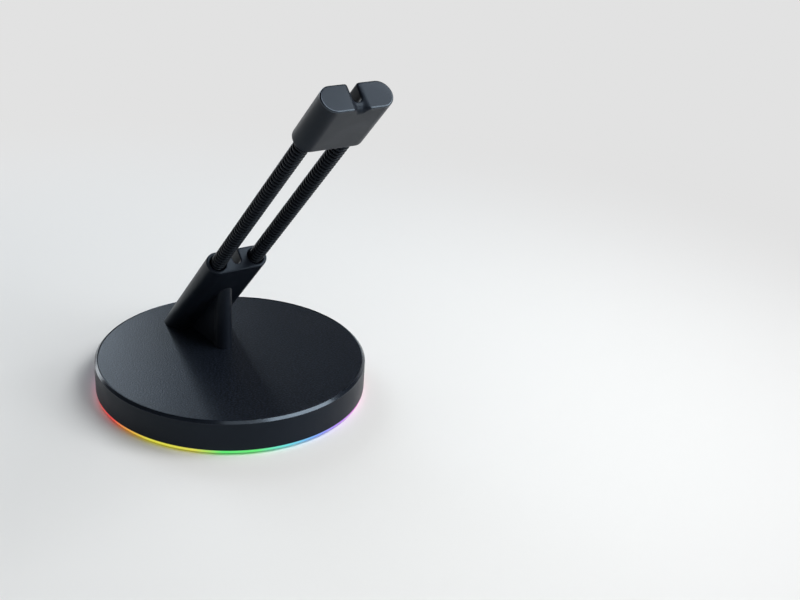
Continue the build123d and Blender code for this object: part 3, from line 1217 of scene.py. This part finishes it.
def soft_light(name, watts, tint, size, distance, direction, roll=0.0):
    """A rectangular lamp that faces the plate's middle from a direction, with a roll in degrees."""
    lamp = bpy.data.lights.new(name, "AREA")
    lamp.shape = "RECTANGLE"
    lamp.size, lamp.size_y = size
    lamp.energy = watts
    lamp.color = tint
    obj = bpy.data.objects.new(name, lamp)
    bpy.context.scene.collection.objects.link(obj)
    way = Vector(direction)
    obj.location = Vector((0, 0, PLATE_HIGH.z)) + way.normalized() * distance
    turn = Matrix.Rotation(math.radians(roll), 3, "Z")
    obj.rotation_euler = ((-way).to_track_quat("-Z", "Y").to_matrix() @ turn).to_euler()
    obj.visible_camera = False


def pale_floor(studio):
    """Plain floor that keeps the shadows near the object and looks evenly pale further out."""
    look = Surface("pale_floor", grain=2 * MM, patch=0.4)
    far = fade(look.tree, look.distance(), studio.far_start, studio.far_full)
    path = look.node("ShaderNodeLightPath").outputs
    seen = calculate(look.tree, "MAXIMUM", path["Is Camera Ray"], path["Is Glossy Ray"])
    seen = calculate(look.tree, "MAXIMUM", seen, path["Is Transmission Ray"])
    share = calculate(look.tree, "MULTIPLY", far, seen)
    glow = look.node("ShaderNodeEmission", {"Strength": studio.far_floor}).outputs["Emission"]
    mix = look.node("ShaderNodeMixShader", {0: share, 1: look.shader.outputs["BSDF"], 2: glow})
    fill(look.tree, look.tree.nodes["Material Output"], {"Surface": mix.outputs["Shader"]})
    return look.finished({
        "Base Color": look.patchy(studio.floor, 0.99, 1.01, low=0.0, high=1.0),
        "Roughness": 0.7,
        "Specular IOR Level": 0.0,
    })


def studio_sky(studio):
    """Faint even light, with a paler band above the floor's far edge."""
    band_top, sky_start = 0.1, 0.3        # heights on a sphere of radius 1
    world = bpy.data.worlds.new("studio")
    world.use_nodes = True
    tree = world.node_tree
    way = add_node(tree, "ShaderNodeTexCoord").outputs["Generated"]
    height = add_node(tree, "ShaderNodeSeparateXYZ", {"Vector": way}).outputs["Z"]
    strength = fade(tree, height, band_top, sky_start, studio.far_floor, studio.sky)
    fill(tree, tree.nodes["Background"], {"Color": (*WHITE, 1.0), "Strength": strength})
    return world


class BUNGEE_OT_studio(Operator):
    """Set the plain floor, the soft lights and the camera."""

    bl_idname = "bungee.studio"
    bl_label = "Studio"

    floor_reach = 4.0
    floor_depth = 1.0 * MM

    def execute(self, context):
        scene = context.scene
        studio = scene.bungee_studio
        reach = self.floor_reach
        floor = prism("floor", box_outline(2 * reach, -reach, reach), -self.floor_depth, 0)
        floor.data.materials.append(pale_floor(studio))
        scene.world = studio_sky(studio)

        soft_light(
            "top_softbox", studio.top_light, studio.front_tint,
            size=(0.26, 0.26), distance=0.9, direction=(0.47, -0.24, 0.85),
        )
        soft_light(
            "front_softbox", studio.front_light, studio.front_tint,
            size=(0.66, 0.4), distance=0.8, direction=(0.457, -0.394, 0.804), roll=-31,
        )
        soft_light(
            "back_softbox", studio.back_light, studio.back_tint,
            size=(0.48, 0.4), distance=0.75, direction=(-0.01, 0.9, 0.5),
        )
        soft_light(
            "left_softbox", studio.left_light, WHITE,
            size=(0.35, 0.35), distance=0.7, direction=(-0.12, -0.6, 0.79),
        )
        soft_light(
            "rim_softbox", studio.rim_light, WHITE,
            size=(0.24, 0.2), distance=0.8, direction=(-0.34, 0.92, 0.18),
        )
        soft_light(
            "low_softbox", studio.low_light, studio.front_tint,
            size=(0.6, 0.3), distance=0.9, direction=(0.58, -0.7, 0.34),
        )

        lens = bpy.data.cameras.new("camera")
        lens.lens = studio.lens
        lens.sensor_width = 36.0
        lens.clip_start = 0.01
        lens.clip_end = 50.0
        camera = bpy.data.objects.new("camera", lens)
        scene.collection.objects.link(camera)
        camera.location = studio.camera
        sight = (Vector(studio.aim) - Vector(studio.camera)).to_track_quat("-Z", "Y").to_matrix()
        camera.rotation_euler = (sight @ Matrix.Rotation(studio.roll, 3, "Z")).to_euler()
        scene.camera = camera
        scene.view_settings.view_transform = "Standard"
        return {"FINISHED"}


OPERATORS = (
    BUNGEE_OT_base_shell,
    BUNGEE_OT_top_plate,
    BUNGEE_OT_light_ring,
    BUNGEE_OT_stem,
    BUNGEE_OT_springs,
    BUNGEE_OT_head,
    BUNGEE_OT_inlet,
    BUNGEE_OT_foot,
    BUNGEE_OT_inner_parts,
    BUNGEE_OT_studio,
)
GROUPS = {
    "bungee_base": BaseSizes,
    "bungee_arm": ArmSizes,
    "bungee_spring": SpringSizes,
    "bungee_finish": Finishes,
    "bungee_studio": Studio,
}


class BUNGEE_PT_panel(Panel):
    """Sizes, finishes and pieces of the mouse bungee."""

    bl_idname = "BUNGEE_PT_panel"
    bl_label = "Mouse bungee"
    bl_space_type = "VIEW_3D"
    bl_region_type = "UI"
    bl_category = "Bungee"

    def draw(self, context):
        for name, group in GROUPS.items():
            box = self.layout.box()
            for key in group.__annotations__:
                box.prop(getattr(context.scene, name), key)
        for operator in OPERATORS:
            self.layout.operator(operator.bl_idname)


def register():
    for cls in (*GROUPS.values(), *OPERATORS, BUNGEE_PT_panel):
        bpy.utils.register_class(cls)
    for name, group in GROUPS.items():
        setattr(bpy.types.Scene, name, PointerProperty(type=group))


def unregister():
    for name in GROUPS:
        delattr(bpy.types.Scene, name)
    for cls in (BUNGEE_PT_panel, *reversed(OPERATORS), *reversed(GROUPS.values())):
        bpy.utils.unregister_class(cls)


def main():
    register()
    bpy.ops.bungee.base_shell()
    bpy.ops.bungee.top_plate()
    bpy.ops.bungee.light_ring()
    bpy.ops.bungee.stem()
    bpy.ops.bungee.springs()
    bpy.ops.bungee.head()
    bpy.ops.bungee.inlet()
    bpy.ops.bungee.foot()
    bpy.ops.bungee.inner_parts()
    bpy.ops.bungee.studio()


if __name__ == "__main__":
    main()
